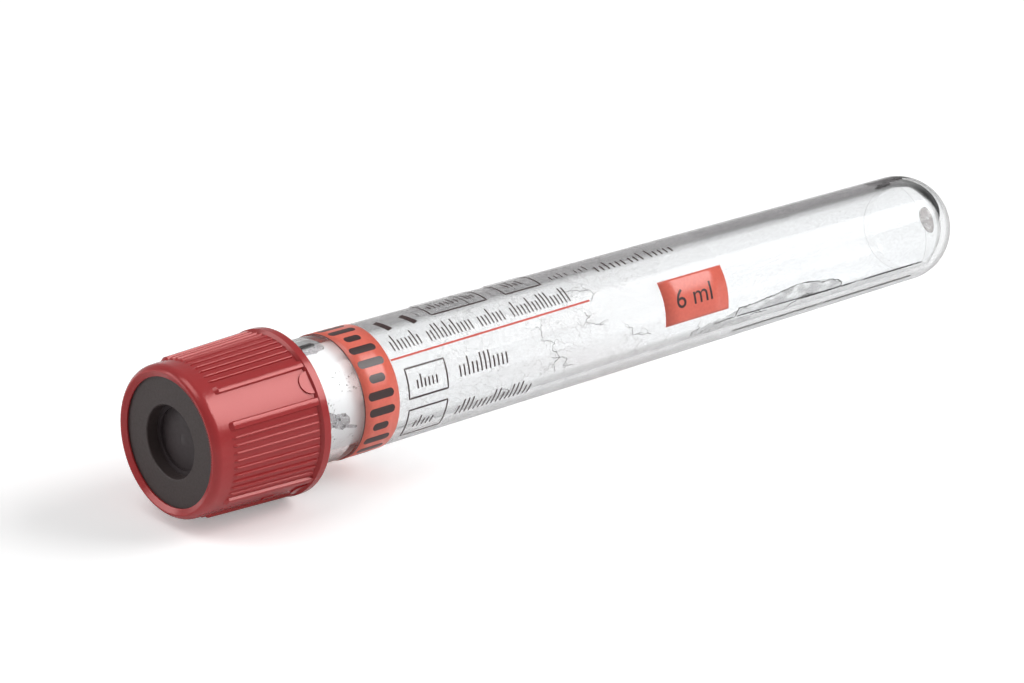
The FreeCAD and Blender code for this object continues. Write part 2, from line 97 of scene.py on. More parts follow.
def new_material(name):
    """A node material with its Principled shader, and a way to add and join nodes."""
    material = bpy.data.materials.new(name)
    material.use_nodes = True
    nodes = material.node_tree.nodes
    return material, nodes, material.node_tree.links, nodes["Principled BSDF"]


def pass_light(nodes, links, shader, colour):
    """Lets lamp light through in the given colour where a thin clear or printed wall would shade it."""
    light_path = nodes.new("ShaderNodeLightPath")
    let_through = nodes.new("ShaderNodeBsdfTransparent")
    let_through.inputs["Color"].default_value = colour
    pale_shadow = nodes.new("ShaderNodeMixShader")
    links.new(light_path.outputs["Is Shadow Ray"], pale_shadow.inputs["Fac"])
    links.new(shader.outputs["BSDF"], pale_shadow.inputs[1])
    links.new(let_through.outputs["BSDF"], pale_shadow.inputs[2])
    links.new(pale_shadow.outputs["Shader"], nodes["Material Output"].inputs["Surface"])


# The colour darkens as the wall turns from the eye: a painted shade that strengthens the grey edges
# of clear plastic. The dark specular tint all but takes away its mirror reflections.
clear_plastic, nodes, links, shader = new_material("clear_plastic_look")
grazing = nodes.new("ShaderNodeLayerWeight")
grazing.inputs["Blend"].default_value = 0.5
painted_edge_shade = nodes.new("ShaderNodeValToRGB")
painted_edge_shade.color_ramp.elements[0].position = 0.56
painted_edge_shade.color_ramp.elements[0].color = (0.97, 0.98, 0.985, 1)
painted_edge_shade.color_ramp.elements[1].position = 0.97
painted_edge_shade.color_ramp.elements[1].color = (0.08, 0.08, 0.08, 1)
for position, level in ((0.64, 0.6), (0.72, 0.42), (0.8, 0.3), (0.9, 0.14)):
    painted_edge_shade.color_ramp.elements.new(position).color = (level, level, level, 1)
links.new(grazing.outputs["Facing"], painted_edge_shade.inputs["Fac"])
links.new(painted_edge_shade.outputs["Color"], shader.inputs["Base Color"])
shader.inputs["Roughness"].default_value = 0.02
shader.inputs["IOR"].default_value = 1.5
shader.inputs["Specular Tint"].default_value = (0.02, 0.02, 0.02, 1)
shader.inputs["Transmission Weight"].default_value = 1.0
pass_light(nodes, links, shader, (0.92, 0.92, 0.92, 1))


def grid_faces(rows, columns, closed_rows=False):
    """Quads between neighbours on a grid of rows times columns; the columns run round and join up."""
    row = np.arange(rows if closed_rows else rows - 1)[:, None]
    column = np.arange(columns)[None, :]
    following = (column + 1) % columns
    below = (row + 1) % rows
    corners = (row * columns + column, row * columns + following,
               below * columns + following, below * columns + column)
    return np.stack(corners, axis=-1).reshape(-1, 4)


def face_out(mesh):
    """Turns a closed mesh's faces outwards."""
    shell = bmesh.new()
    shell.from_mesh(mesh)
    bmesh.ops.recalc_face_normals(shell, faces=shell.faces)
    shell.to_mesh(mesh)
    shell.free()


def mesh_piece(name, places, faces, material, body, smooth=True):
    """A closed mesh object at the origin, with its places in metres, riding on a body."""
    mesh = bpy.data.meshes.new(name)
    mesh.from_pydata(np.asarray(places).reshape(-1, 3).tolist(), [], faces)
    mesh.polygons.foreach_set("use_smooth", [smooth] * len(mesh.polygons))
    mesh.materials.append(material)
    face_out(mesh)
    piece = bpy.data.objects.new(name, mesh)
    scene.collection.objects.link(piece)
    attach(piece, body)
    return piece


def straight(start, end, steps):
    """Points evenly spaced from one (station, turn) to another."""
    share = np.linspace(0, 1, steps)[:, None]
    return np.array(start, dtype=float) * (1 - share) + np.array(end, dtype=float) * share


def arc(station, height, radius, start, end, count):
    """Points of (station, radius) on a circle: its middle plus its radius times the cosine and the sine
    of an angle in degrees."""
    angle = np.radians(np.linspace(start, end, count))
    return np.stack([station + radius * np.cos(angle), height + radius * np.sin(angle)], axis=1)


THREAD_START = 7.42
THREAD_START_TURN = 90
THREAD_SPAN = 109.8
THREAD_LEAD = 8.2
THREAD_DEPTH = 0.48
CREST_HALF = 0.35
FOOT_HALF = 0.497


def thread_height(station, turn):
    """Height in mm of the thread's two right-handed ridges over the neck. A ridge's middle is at the
    first station plus the lead times the share of a whole turn past its start. The height falls from
    full to nothing over the flank as the distance from the middle goes from the crest's half width to
    the foot's, and it is nothing past the ridge's end."""
    past = (turn - THREAD_START_TURN) % 180
    middle = THREAD_START + THREAD_LEAD * past / 360
    flank = (FOOT_HALF - np.abs(station - middle)) / (FOOT_HALF - CREST_HALF)
    return np.where(past <= THREAD_SPAN, THREAD_DEPTH * np.clip(flank, 0, 1), 0)


BORE_R_AT_NECK = TUBE_R_AT_NECK - TUBE_WALL
END_RADIUS = 5.71
GATE_FLAT = 105.792
GATE_STUB = 0.15
GATE_STUB_R = 0.45
MOUTH_ROUND = 0.3
LAST_STRAIGHT = 99.0
THREADED_START = 6.85
THREADED_END = 10.5
TUBE_COLUMNS = 240
# The wall's two profiles, as rows of station and radius in mm: the outside from the gate's stub over
# the round end and along the taper to the mouth, with close rows where the thread stands on it, and
# the inside from the mouth back to the bottom.
outside = np.concatenate([
    [(GATE_FLAT + GATE_STUB, 0.002), (GATE_FLAT + GATE_STUB, GATE_STUB_R - 0.01)],
    [(GATE_FLAT + GATE_STUB - 0.01, GATE_STUB_R), (GATE_FLAT + 0.01, GATE_STUB_R)],
    [(GATE_FLAT, GATE_STUB_R + 0.01), (GATE_FLAT, 1.19)],
    arc(SPRING_STATION, 0, END_RADIUS, 12.2, 90, 44),
    straight((LAST_STRAIGHT, tube_radius(LAST_STRAIGHT)),
             (THREADED_END + 0.1, tube_radius(THREADED_END + 0.1)), 30),
    straight((THREADED_END, tube_radius(THREADED_END)),
             (THREADED_START, tube_radius(THREADED_START)), 74),
    arc(NECK_STATION + MOUTH_ROUND, TUBE_R_AT_NECK - MOUTH_ROUND, MOUTH_ROUND, 90, 180, 7),
])
bore_end = (LAST_STRAIGHT, tube_radius(LAST_STRAIGHT) - TUBE_WALL)
inside = np.concatenate([
    [(NECK_STATION, TUBE_R_AT_NECK - MOUTH_ROUND - 0.01), (NECK_STATION, BORE_R_AT_NECK + 0.01)],
    straight((NECK_STATION + 0.01, BORE_R_AT_NECK), bore_end, 30),
    arc(SPRING_STATION, 0, END_RADIUS - TUBE_WALL, 90, 0.03, 40),
])
turns = np.linspace(0, 360, TUBE_COLUMNS, endpoint=False)[None, :]
outer = outside[:, 1:] + thread_height(outside[:, :1], turns)
inner = np.broadcast_to(inside[:, 1:], (len(inside), turns.size))
stations = np.concatenate([outside, inside])[:, :1]
places = round_the_tube(stations, turns, np.concatenate([outer, inner]))
faces = grid_faces(len(stations), TUBE_COLUMNS).tolist()
last_row = TUBE_COLUMNS * (len(stations) - 1)
faces += [list(range(TUBE_COLUMNS)), list(range(last_row, last_row + TUBE_COLUMNS))]
tube_wall = mesh_piece("tube_wall", places, faces, clear_plastic, "tube")
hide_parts("tube")

# ---------------------------------------------------------------------------------------------
# The dried additive: a thin film sprayed on the bore, which dries to a faint silvery haze with
# fine streaks along the tube. It has cracked and lifted in places, where its edges show as thin
# dark lines, and it left speckled spots near the mouth.
BORE_FACE = -TUBE_WALL - 0.05
SKIN_FACE = -TUBE_WALL + 0.03
HAZE_START = 19.7
HAZE_END = 100.5
SLEEVE_ROWS = 60
SLEEVE_COLUMNS = 180


def thin_sleeve(name, start, end, face, thickness, material, rows=SLEEVE_ROWS, columns=SLEEVE_COLUMNS):
    """A thin closed sleeve round the tube: rings at each station at the face's height over the tube's
    outside, then back along the stations the thickness further out, joined at both ends."""
    stations = np.linspace(start, end, rows)
    stations = np.concatenate([stations, stations[::-1]])[:, None]
    lift = np.repeat([face, face + thickness], rows)[:, None]
    turns = np.linspace(0, 360, columns, endpoint=False)[None, :]
    places = round_the_tube(stations, turns, tube_radius(stations) + lift)
    faces = grid_faces(2 * rows, columns, closed_rows=True).tolist()
    return mesh_piece(name, places, faces, material, "tube")


FIELD_STEP = 1.5
FIELD_TURN_STEP = 2.5


def thin_field(name, start, end, turn_start, turn_end, material, face, thickness):
    """A thin closed field with square corners: a grid of stations and turns at the face's height over
    the tube's outside, and the same grid the thickness higher, joined round the edge."""
    rows = max(2, int((end - start) / FIELD_STEP))
    columns = max(3, int(abs(turn_end - turn_start) / FIELD_TURN_STEP))
    station, turn = np.meshgrid(np.linspace(start, end, rows),
                                np.linspace(turn_start, turn_end, columns), indexing="ij")
    base = tube_radius(station) + face
    low = round_the_tube(station, turn, base).reshape(-1, 3)
    high = round_the_tube(station, turn, base + thickness).reshape(-1, 3)
    index = np.arange(rows * columns).reshape(rows, columns)
    quads = np.stack([index[:-1, :-1], index[:-1, 1:], index[1:, 1:], index[1:, :-1]],
                     axis=-1).reshape(-1, 4)
    edge = np.concatenate([index[0, :-1], index[:-1, -1], index[-1, :0:-1], index[:0:-1, 0]])
    following = np.roll(edge, -1)
    count = rows * columns
    walls = np.stack([edge, following, following + count, edge + count], axis=-1)
    faces = np.concatenate([quads[:, ::-1], quads + count, walls]).tolist()
    return mesh_piece(name, np.concatenate([low, high]), faces, material, "tube")


STRIP_LANES = 5


def thin_strip(name, path, width, material, face, thickness, round_ends=False, closed=False):
    """A thin closed strip along a path of (station, turn) rows: five lanes across it lie at the path's
    normal times -1 to 1 half widths, at the face's height over the tube's outside and again the
    thickness higher. The half width falls along a circle at round ends. On a closed path the heading
    is the step between a point's neighbours, less a whole girth where the step goes round the tube."""
    path = np.asarray(path, dtype=float)
    radius = tube_radius(path[:, 0]) + face
    flat = np.stack([path[:, 0], np.radians(path[:, 1]) * radius], axis=1)
    if closed:
        heading = np.roll(flat, -1, axis=0) - np.roll(flat, 1, axis=0)
        girth = 2 * math.pi * radius
        heading[:, 1] = (heading[:, 1] + girth / 2) % girth - girth / 2
    else:
        heading = np.gradient(flat, axis=0)
    heading /= np.linalg.norm(heading, axis=1)[:, None]
    normal = np.stack([-heading[:, 1], heading[:, 0]], axis=1)
    half = np.broadcast_to(np.asarray(width, dtype=float) / 2, len(flat))
    if round_ends:
        steps = np.linalg.norm(np.diff(flat, axis=0), axis=1)
        travel = np.concatenate([[0], np.cumsum(steps)])
        inset = np.clip(half - np.minimum(travel, travel[-1] - travel), 0, half)
        half = np.sqrt(np.maximum(half ** 2 - inset ** 2, (0.06 * half) ** 2))
    lanes = np.linspace(1, -1, STRIP_LANES)[None, :, None]
    sides = flat[:, None] + normal[:, None] * half[:, None, None] * lanes
    station = sides[..., 0]
    turn = np.degrees(sides[..., 1] / radius[:, None])
    low = round_the_tube(station, turn, tube_radius(station) + face)
    high = round_the_tube(station, turn, tube_radius(station) + face + thickness)
    ring = np.concatenate([low, high[:, ::-1]], axis=1)
    around = 2 * STRIP_LANES
    count = around * len(ring)
    faces = grid_faces(len(ring), around, closed_rows=closed).tolist()
    if not closed:
        faces += [list(range(around - 1, -1, -1)), list(range(count - around, count))]
    return mesh_piece(name, ring, faces, material, "tube", smooth=False)


def new_group(name, inputs, outputs):
    """An empty shader node group: number inputs with their defaults, and outputs with their kinds."""
    group = bpy.data.node_groups.new(name, "ShaderNodeTree")
    for socket, value in inputs.items():
        made = group.interface.new_socket(socket, in_out="INPUT", socket_type="NodeSocketFloat")
        made.default_value = value
    for socket, kind in outputs.items():
        group.interface.new_socket(socket, in_out="OUTPUT", socket_type=kind)
    nodes = group.nodes
    return group, nodes, group.links, nodes.new("NodeGroupInput"), nodes.new("NodeGroupOutput")


def place_group(nodes, group, **values):
    """The group's node in a material, with its inputs set by name."""
    node = nodes.new("ShaderNodeGroup")
    node.node_tree = group
    for socket, value in values.items():
        node.inputs[socket].default_value = value
    return node


# Patchy cover, shared by the film, its marks and the ink: noise of one scale per metre along the tube
# and another across it; its cover goes from Least to Most as the noise goes from Thin to Thick.
patchy, nodes, links, given, result = new_group(
    "patchy_cover",
    {"Along": 1000, "Across": 1000, "Detail": 3, "Thin": 0.4, "Thick": 0.6, "Least": 0, "Most": 1},
    {"Cover": "NodeSocketFloat", "Noise": "NodeSocketFloat"})
where = nodes.new("ShaderNodeTexCoord")
scale = nodes.new("ShaderNodeCombineXYZ")
links.new(given.outputs["Along"], scale.inputs["X"])
links.new(given.outputs["Across"], scale.inputs["Y"])
links.new(given.outputs["Across"], scale.inputs["Z"])
spread = nodes.new("ShaderNodeVectorMath")
spread.operation = "MULTIPLY"
links.new(where.outputs["Object"], spread.inputs[0])
links.new(scale.outputs["Vector"], spread.inputs[1])
noise = nodes.new("ShaderNodeTexNoise")
noise.inputs["Scale"].default_value = 1.0
links.new(spread.outputs["Vector"], noise.inputs["Vector"])
links.new(given.outputs["Detail"], noise.inputs["Detail"])
cover = nodes.new("ShaderNodeMapRange")
links.new(noise.outputs["Fac"], cover.inputs["Value"])
for edge, socket in (("From Min", "Thin"), ("From Max", "Thick"), ("To Min", "Least"), ("To Max", "Most")):
    links.new(given.outputs[socket], cover.inputs[edge])
links.new(cover.outputs["Result"], result.inputs["Cover"])
links.new(noise.outputs["Fac"], result.inputs["Noise"])

haze, nodes, links, shader = new_material("dried_additive_haze")
shader.inputs["Base Color"].default_value = (0.5, 0.47, 0.49, 1)
shader.inputs["Roughness"].default_value = 0.4
grain = place_group(nodes, patchy, Along=2600, Across=5200, Thin=0.4, Thick=0.7, Least=0.1)
# This attribute carries the film's thin even cover plus a painted shade along the top.
film = nodes.new("ShaderNodeAttribute")
film.attribute_name = "film"
thickness = nodes.new("ShaderNodeMath")
thickness.operation = "MULTIPLY"
links.new(grain.outputs["Cover"], thickness.inputs[0])
links.new(film.outputs["Fac"], thickness.inputs[1])
# The crazing is the thin walls between cells that noise has bent, in patches.
where = nodes.new("ShaderNodeTexCoord")
wavy = nodes.new("ShaderNodeTexNoise")
wavy.inputs["Scale"].default_value = 900
wavy.inputs["Detail"].default_value = 3
links.new(where.outputs["Object"], wavy.inputs["Vector"])
bent = nodes.new("ShaderNodeVectorMath")
bent.operation = "MULTIPLY_ADD"
bent.inputs[1].default_value = (0.0016, 0.0016, 0.0016)
links.new(wavy.outputs["Color"], bent.inputs[0])
links.new(where.outputs["Object"], bent.inputs[2])
cells = nodes.new("ShaderNodeTexVoronoi")
cells.feature = "DISTANCE_TO_EDGE"
cells.inputs["Scale"].default_value = 620
links.new(bent.outputs["Vector"], cells.inputs["Vector"])
crazing = nodes.new("ShaderNodeMapRange")
crazing.inputs["From Max"].default_value = 0.04
crazing.inputs["To Min"].default_value = 1
crazing.inputs["To Max"].default_value = 0
links.new(cells.outputs["Distance"], crazing.inputs["Value"])
area = place_group(nodes, patchy, Along=190, Across=190, Detail=2, Thin=0.46, Thick=0.6)
under_label = nodes.new("ShaderNodeAttribute")
under_label.attribute_name = "crazing"
here = nodes.new("ShaderNodeMath")
here.operation = "MULTIPLY"
links.new(area.outputs["Cover"], here.inputs[0])
links.new(under_label.outputs["Fac"], here.inputs[1])
crazed = nodes.new("ShaderNodeMath")
crazed.operation = "MULTIPLY_ADD"
links.new(crazing.outputs["Result"], crazed.inputs[0])
links.new(here.outputs[0], crazed.inputs[1])
links.new(thickness.outputs[0], crazed.inputs[2])
links.new(crazed.outputs[0], shader.inputs["Alpha"])
dried = thin_sleeve("dried_additive", HAZE_START, HAZE_END, SKIN_FACE + 0.01, 0.02, haze)
# The film is thin all round; its extra thickness along the top is a painted shade for the grey
# of the top edge, and it has crazed under the label.
turns = np.tile(np.linspace(0, 360, SLEEVE_COLUMNS, endpoint=False), 2 * SLEEVE_ROWS)
film_share = 0.05 + 0.4 * np.exp(-((turns - 71) / 15) ** 2)
dried.data.attributes.new("film", "FLOAT", "POINT").data.foreach_set("value", film_share)
stations = np.linspace(HAZE_START, HAZE_END, SLEEVE_ROWS)
stations = np.repeat(np.concatenate([stations, stations[::-1]]), SLEEVE_COLUMNS)
crazed_share = 0.2 * np.clip((64 - stations) / 8, 0, 1) * np.clip((stations - 24) / 16, 0.2, 1)
dried.data.attributes.new("crazing", "FLOAT", "POINT").data.foreach_set("value", crazed_share)

flake_edge, nodes, links, shader = new_material("flake_edge")
shader.inputs["Base Color"].default_value = (0.07, 0.065, 0.06, 1)
shader.inputs["Roughness"].default_value = 0.5
broken = place_group(nodes, patchy, Along=900, Across=900, Detail=2, Thin=0.35, Least=0.35, Most=0.95)
links.new(broken.outputs["Cover"], shader.inputs["Alpha"])
# The cracks: each is its width in mm and its corners as station and turn.
FLAKE_EDGES = [
    (0.10, [(67.9, 203.1), (69.4, 203.9), (71.3, 201.7), (71.5, 191.6), (74.4, 189.2), (77.3, 186.3),
            (80.4, 183.7), (83.0, 186.8), (85.4, 189.1), (86.6, 197.4), (87.2, 207.4)]),
    (0.09, [(65.7, 201.7), (64.9, 205.8), (64.2, 209.7), (64.5, 216.4), (64.0, 223.5), (64.7, 232.6)]),
    (0.09, [(71.7, 226.7), (72.9, 217.7), (73.4, 207.6), (74.6, 206.8), (75.7, 207.5)]),
    (0.10, [(79.0, 221.1), (79.4, 211.8), (80.0, 204.1), (80.9, 200.5), (81.4, 198.3), (82.4, 201.7)]),
    (0.06, [(43.4, 144.3), (44.3, 151.4), (43.6, 159.2), (44.9, 166.2), (44.2, 174.4), (45.4, 182.1),
            (44.8, 191.5), (45.6, 201.5)]),
    (0.06, [(44.9, 181.2), (46.2, 184.4), (47.1, 190.5), (46.6, 195.9), (48.3, 200.4)]),
    (0.06, [(50.2, 143.6), (50.9, 149.0), (50.4, 155.1), (51.8, 158.3), (52.1, 161.5)]),
    (0.05, [(48.8, 112.5), (50.1, 116.7), (51.9, 120.4), (52.4, 127.8), (51.6, 134.0)]),
    (0.05, [(38.2, 202.8), (39.6, 208.4), (39.1, 215.5), (40.5, 221.1)]),
    (0.05, [(55.1, 170.7), (56.0, 175.9), (55.4, 182.0), (57.2, 187.2), (58.6, 188.8)]),
    (0.10, [(80.8, 90.6), (81.7, 93.1), (82.9, 94.4)]),
]
# A crack wanders off its corners by a slow drift, which is back at nothing by its end, and by a fine
# jitter. Each is a size in mm and its share along the tube and round it. The finer cracks branch.
DRIFT = 0.075
DRIFT_SHARES = (1.0, 6.0)
JITTER = 0.022
JITTER_SHARES = (1.0, 8.0)
STEPS_A_CORNER = 14
BRANCHES = 3
BRANCHED_UNDER = 0.1
BRANCH_STEPS = 18
BRANCH_STEP = 0.09
BRANCH_BEND = 0.45
BRANCH_TURN = 9.5
FILM_THICKNESS = 0.012


def evenly(rows, count):
    """Rows of numbers read off at evenly spaced places from the first row to the last, straight from
    each row to the next."""
    rows = np.array(rows)
    reach = np.linspace(0, len(rows) - 1, count)
    return np.stack([np.interp(reach, np.arange(len(rows)), column) for column in rows.T], axis=1)


wander = np.random.default_rng(7)
for number, (width, corners) in enumerate(FLAKE_EDGES):
    name = f"flake_edge_{number:02d}"
    path = evenly(corners, STEPS_A_CORNER * (len(corners) - 1) + 1)
    drift = np.cumsum(wander.normal(0, DRIFT, (len(path), 2)), axis=0)
    drift -= np.linspace(0, 1, len(path))[:, None] * drift[-1]
    path = path + drift * DRIFT_SHARES + wander.normal(0, JITTER, (len(path), 2)) * JITTER_SHARES
    widths = 1.15 * width * (0.55 + 0.9 * wander.random(len(path)))
    thin_strip(name, path, widths, flake_edge, BORE_FACE - 0.02, FILM_THICKNESS)
    for branch in range(BRANCHES if width < BRANCHED_UNDER else 0):
        root = path[int(len(path) * (branch + 0.2 + 0.6 * wander.random()) / BRANCHES)]
        heading = wander.uniform(0, 2 * math.pi)
        bends = heading + np.cumsum(wander.normal(0, BRANCH_BEND, BRANCH_STEPS))
        steps = BRANCH_STEP * np.stack([np.cos(bends), BRANCH_TURN * np.sin(bends)], axis=1)
        twig = np.concatenate([[root], root + np.cumsum(steps, axis=0)])
        tapering = 0.9 * width * np.linspace(1, 0.35, len(twig))
        thin_strip(f"{name}_{branch}", twig, tapering, flake_edge, BORE_FACE - 0.02, FILM_THICKNESS)

lifted_film, nodes, links, shader = new_material("lifted_film")
shader.inputs["Base Color"].default_value = (0.42, 0.41, 0.41, 1)
shader.inputs["Roughness"].default_value = 0.4
cloudy = place_group(nodes, patchy, Along=500, Across=900, Detail=3, Least=0.14, Most=0.4)
links.new(cloudy.outputs["Cover"], shader.inputs["Alpha"])
# The flakes that have lifted off the bore. Each row is the station and turn of a flake's middle, and
# its width there.
LIFTED_FLAKES = [
    [(68.2, 203.4, 0.15), (71.8, 197.5, 0.9), (75.5, 195.8, 1.2), (80.5, 194.6, 1.6), (84.5, 197.4, 1.4),
     (86.9, 203.0, 0.7)],
    [(64.3, 221.0, 0.2), (65.8, 214.0, 1.5), (68.4, 210.0, 1.9), (71.5, 212.5, 1.3), (73.3, 209.0, 0.3)],
]
LIFTED_POINTS = 70
for number, rows in enumerate(LIFTED_FLAKES):
    rows = evenly(rows, LIFTED_POINTS)
    ragged = 0.9 + 0.25 * wander.random(LIFTED_POINTS)
    thin_strip(f"lifted_flake_{number}", rows[:, :2], rows[:, 2] * ragged, lifted_film,
               BORE_FACE - 0.06, FILM_THICKNESS)

# The film near the mouth is drawn nearly opaque and white, with patches of dark specks.
mouth_film, nodes, links, shader = new_material("mouth_film")
shader.inputs["Roughness"].default_value = 0.5
specks = place_group(nodes, patchy, Along=4600, Across=4600, Thin=0.57, Thick=0.66)
patches = place_group(nodes, patchy, Along=420, Across=420, Detail=2, Thin=0.52, Thick=0.66)
both = nodes.new("ShaderNodeMath")
both.operation = "MULTIPLY"
links.new(specks.outputs["Cover"], both.inputs[0])
links.new(patches.outputs["Cover"], both.inputs[1])
speckled = nodes.new("ShaderNodeMix")
speckled.data_type = "RGBA"
speckled.inputs["A"].default_value = (0.93, 0.93, 0.935, 1)
speckled.inputs["B"].default_value = (0.2, 0.185, 0.185, 1)
links.new(both.outputs[0], speckled.inputs["Factor"])
links.new(speckled.outputs["Result"], shader.inputs["Base Color"])
shader.inputs["Alpha"].default_value = 0.98
MOUTH_FILM_START = 14.2
MOUTH_FILM_END = 21.0
thin_sleeve("mouth_film", MOUTH_FILM_START, MOUTH_FILM_END, BORE_FACE - 0.03, 0.015, mouth_film, rows=8)

frosted, nodes, links, shader = new_material("frosted_spot")
shader.inputs["Roughness"].default_value = 0.6
crumbs = place_group(nodes, patchy, Along=2600, Across=2600, Detail=1, Thin=0.29, Thick=0.42)
grey = nodes.new("ShaderNodeMix")
grey.data_type = "RGBA"
grey.inputs["A"].default_value = (0.12, 0.11, 0.11, 1)
grey.inputs["B"].default_value = (0.6, 0.57, 0.58, 1)
links.new(crumbs.outputs["Cover"], grey.inputs["Factor"])
links.new(grey.outputs["Result"], shader.inputs["Base Color"])
stipple = place_group(nodes, patchy, Along=3400, Across=3400, Detail=4, Thin=0.4, Thick=0.56, Least=0.2,
                      Most=0.7)
links.new(stipple.outputs["Cover"], shader.inputs["Alpha"])
# The frosted spots: each is its first and last station and turn, and its width in mm.
SPOTS = [((15.1, 176.5), (18.2, 185.0), 1.4), ((14.6, 97.0), (18.9, 94.0), 1.5),
         ((17.2, 187.0), (19.2, 192.5), 0.3)]
SPOT_POINTS = 40
for number, (start, end, width) in enumerate(SPOTS):
    wave = 0.12 * np.sin(np.linspace(0, 11, SPOT_POINTS) + number)
    ripple = 1 + wave + 0.06 * wander.normal(size=SPOT_POINTS)
    thin_strip(f"frosted_spot_{number}", straight(start, end, SPOT_POINTS), width * ripple, frosted,
               BORE_FACE, FILM_THICKNESS, round_ends=True)

# Dark ink for the smears, and for three strips of painted shade.
smear_and_shade_ink, nodes, links, shader = new_material("smear_and_painted_shade")
shader.inputs["Base Color"].default_value = (0.03, 0.026, 0.026, 1)
shader.inputs["Roughness"].default_value = 0.5
broken = place_group(nodes, patchy, Along=420, Across=1900, Detail=4, Thin=0.36, Thick=0.52, Least=0.2,
                     Most=0.95)
links.new(broken.outputs["Cover"], shader.inputs["Alpha"])
# The smears, in the same way. The three long thin ones, from 71.0 to 99.3, aren't real marks but
# painted shade: dark strips that stand in for the dark lines a clear wall bends towards the eye low on its
# near side.
SMEARS_AND_SHADE_LINES = [
    ((96.4, 77.0), (102.8, 71.0), 1.9), ((96.2, 91.5), (98.9, 88.5), 0.4),
    ((71.0, 200.5), (84.0, 203.0), 0.14), ((80.5, 203.4), (99.3, 204.6), 0.22),
    ((71.5, 225.5), (98.6, 226.5), 0.32), ((14.4, 93.0), (18.2, 90.0), 0.8),
]
SMEAR_STEP = 0.2
for number, (start, end, width) in enumerate(SMEARS_AND_SHADE_LINES):
    steps = max(16, int((end[0] - start[0]) / SMEAR_STEP))
    widths = width * (0.75 + 0.4 * wander.random(steps))
    thin_strip(f"smear_and_painted_shade_{number}", straight(start, end, steps), widths, smear_and_shade_ink,
               SKIN_FACE, FILM_THICKNESS, round_ends=True)


# The marks of the mould: a faint ring where the core's round end springs, and a small brown-grey
# blush at the pole of the round bottom, where the plastic was let into the mould.
def once_round(station, points):
    """Points of (station, turn) spaced evenly once round the tube."""
    return np.stack([np.full(points, station), np.arange(points) * 360 / points], axis=1)


witness, nodes, links, shader = new_material("witness_ring")
shader.inputs["Base Color"].default_value = (0.3, 0.3, 0.3, 1)
shader.inputs["Roughness"].default_value = 0.3
shader.inputs["Alpha"].default_value = 0.18
thin_strip("witness_ring", once_round(SPRING_STATION - 0.9, 180), 0.07, witness, BORE_FACE - 0.01,
           0.01, closed=True)

blush, nodes, links, shader = new_material("gate_blush")
shader.inputs["Base Color"].default_value = (0.6, 0.56, 0.55, 1)
shader.inputs["Roughness"].default_value = 0.6
mottle = place_group(nodes, patchy, Along=1300, Across=1300, Thin=0.3, Thick=0.65, Least=0.25, Most=0.85)
links.new(mottle.outputs["Cover"], shader.inputs["Alpha"])
GATE_RADIUS = 1.42
GATE_RINGS = 8
GATE_COLUMNS = 40


def gate_disc():
    """A thin closed cap on the round bottom: rings whose distance from the axis goes from nothing to
    the mark's radius and back, on a ball of the bore's end radius, laid 0.05 mm inside it on the way
    out and 0.035 mm on the way back. The distance ripples a little with the sine of the turn."""
    out = np.linspace(0.001, GATE_RADIUS, GATE_RINGS)
    away = np.concatenate([out, out[::-1]])[:, None]
    lift = -TUBE_WALL - np.repeat([0.05, 0.035], GATE_RINGS)[:, None]
    turns = np.linspace(0, 360, GATE_COLUMNS, endpoint=False)[None, :]
    ripple = 1 + 0.05 * np.sin(np.radians(2 * turns)) + 0.03 * np.sin(np.radians(3 * turns + 40))
    stations = SPRING_STATION + np.sqrt((END_RADIUS + lift) ** 2 - (away * ripple) ** 2)
    places = round_the_tube(stations, turns, away * ripple)
    faces = grid_faces(2 * GATE_RINGS, GATE_COLUMNS, closed_rows=True).tolist()
    return mesh_piece("gate_mark", places, faces, blush, "tube")


gate_disc()

# ---------------------------------------------------------------------------------------------
# The label: a clear printed film wrapped once round the tube and lapped on itself underneath. The
# lap's free edge stands one film higher, and the film is glossy, like the tube.
label_film, nodes, links, shader = new_material("label_film_look")
shader.inputs["Base Color"].default_value = (0.9, 0.89, 0.89, 1)
shader.inputs["Roughness"].default_value = 0.08
shader.inputs["Alpha"].default_value = 0.05
label = frame["nodes"]["label"]
for slot in label.material_slots:
    slot.material = label_film

# The print on the label: a coral band round the front edge with dark bars, a thin red rule, plain
# boxes and dashes where a maker prints its words, and a coral patch with the volume. Each is ink a
# hundredth of a millimetre thick on the film.
LABEL_FRONT = 19.42
FILM_FACE = 0.03 + 0.06
INK = 0.012
INK_SOLID = 0.00001
ON_FILM = 0.004


def ink_strip(name, path, width, material, lift=ON_FILM, **ends):
    """A strip of ink on the label's film, a little over its face."""
    return thin_strip(name, path, width, material, FILM_FACE + lift, INK, **ends)


coral_ink, nodes, links, shader = new_material("coral_ink")
shader.inputs["Roughness"].default_value = 0.28
mottle = place_group(nodes, patchy, Along=3000, Across=3000, Detail=4)
coral = nodes.new("ShaderNodeMix")
coral.data_type = "RGBA"
coral.inputs["A"].default_value = (0.74, 0.135, 0.095, 1)
coral.inputs["B"].default_value = (0.92, 0.2, 0.14, 1)
links.new(mottle.outputs["Noise"], coral.inputs["Factor"])
links.new(coral.outputs["Result"], shader.inputs["Base Color"])
pass_light(nodes, links, shader, (0.85, 0.72, 0.7, 1))
dark_ink, nodes, links, shader = new_material("dark_ink")
shader.inputs["Base Color"].default_value = (0.047, 0.024, 0.024, 1)
shader.inputs["Roughness"].default_value = 0.35
red_ink, nodes, links, shader = new_material("red_rule_ink")
shader.inputs["Base Color"].default_value = (0.72, 0.12, 0.09, 1)
shader.inputs["Roughness"].default_value = 0.6
shader.inputs["Specular IOR Level"].default_value = 0.2

